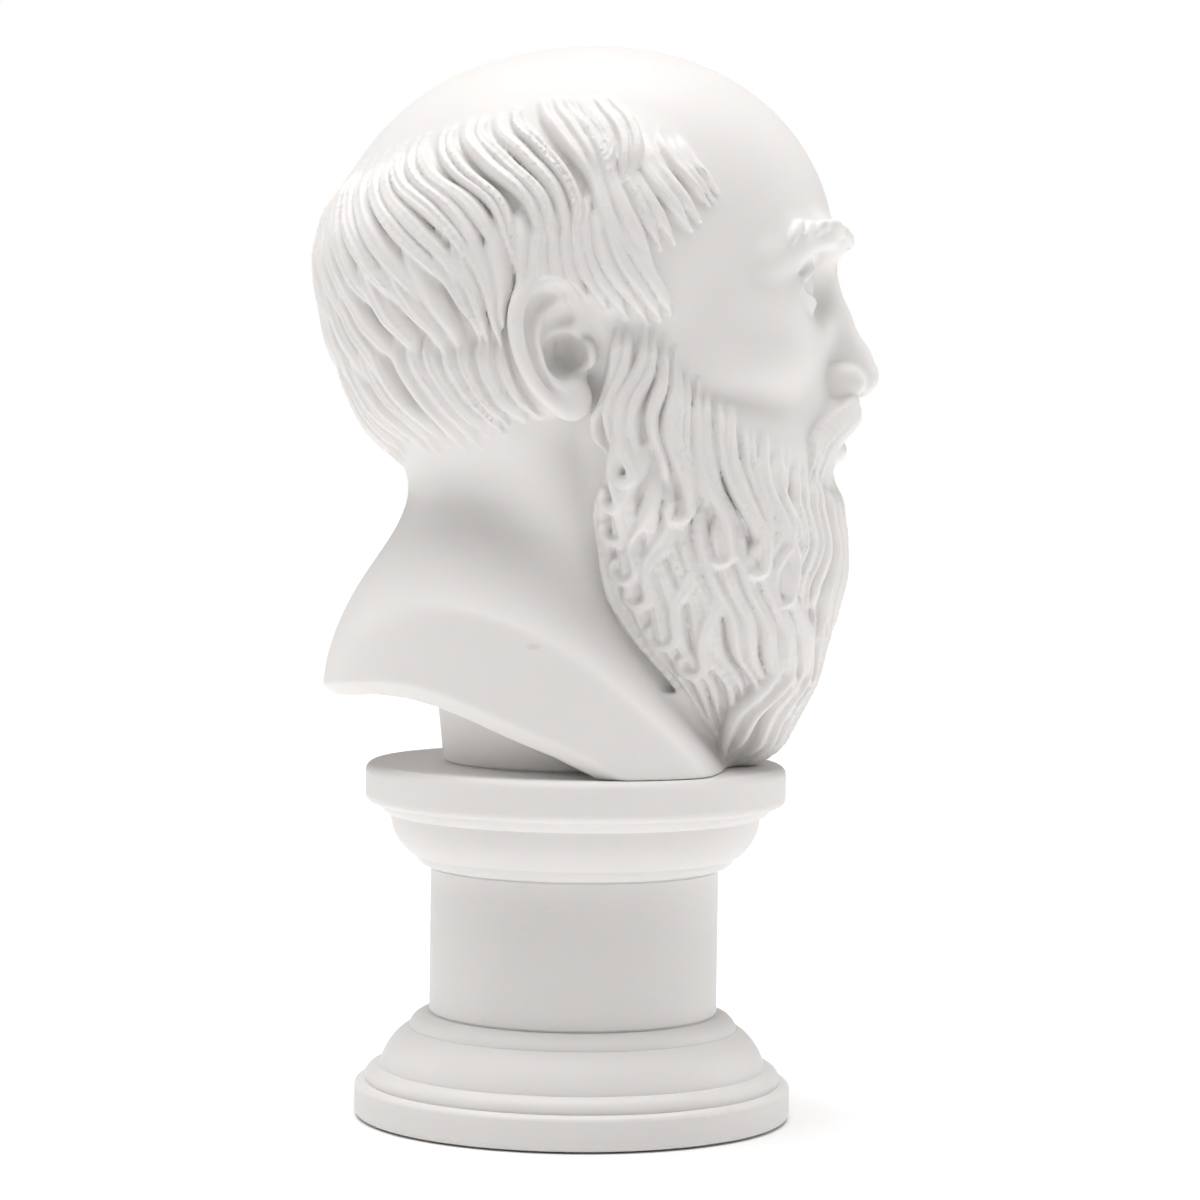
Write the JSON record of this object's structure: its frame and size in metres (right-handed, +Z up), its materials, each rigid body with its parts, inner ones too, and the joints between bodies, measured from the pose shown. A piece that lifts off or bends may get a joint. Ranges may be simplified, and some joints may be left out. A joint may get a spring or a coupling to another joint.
{
  "type": "marble bust",
  "caption": "Classical head-and-neck bust of a bald bearded man, cut round at the chest, on a turned round socle with a drum and mouldings.",
  "frame": {"origin": "on the socle's vertical axis, on the plane of the felt's underside, where the object rests", "axes": "+Z up along the socle's axis; the face looks along -Y; X runs from ear to ear"},
  "size_m": [0.1148, 0.1462, 0.28],
  "materials": {
    "marble": "satin matte",
    "bedding": "matte",
    "dowel_steel": "ground",
    "zinc_steel": "zinc plated",
    "bush_brass": "turned",
    "felt": "felt"
  },
  "bodies": {
    "root": {"bust": "marble", "socle_cap": "marble", "socle_drum": "marble", "socle_base": "marble", "base_shim": "bedding", "drum_shim": "bedding", "bust_shim": "bedding", "base_dowels": "dowel_steel", "drum_dowels": "dowel_steel", "bust_dowels": "dowel_steel", "rod_anchor": "bush_brass", "tie_rod": "zinc_steel", "clamp_washer": "zinc_steel", "spring_washer": "zinc_steel", "clamp_nut": "zinc_steel", "felt_pad": "felt"}
  },
  "joints": []
}
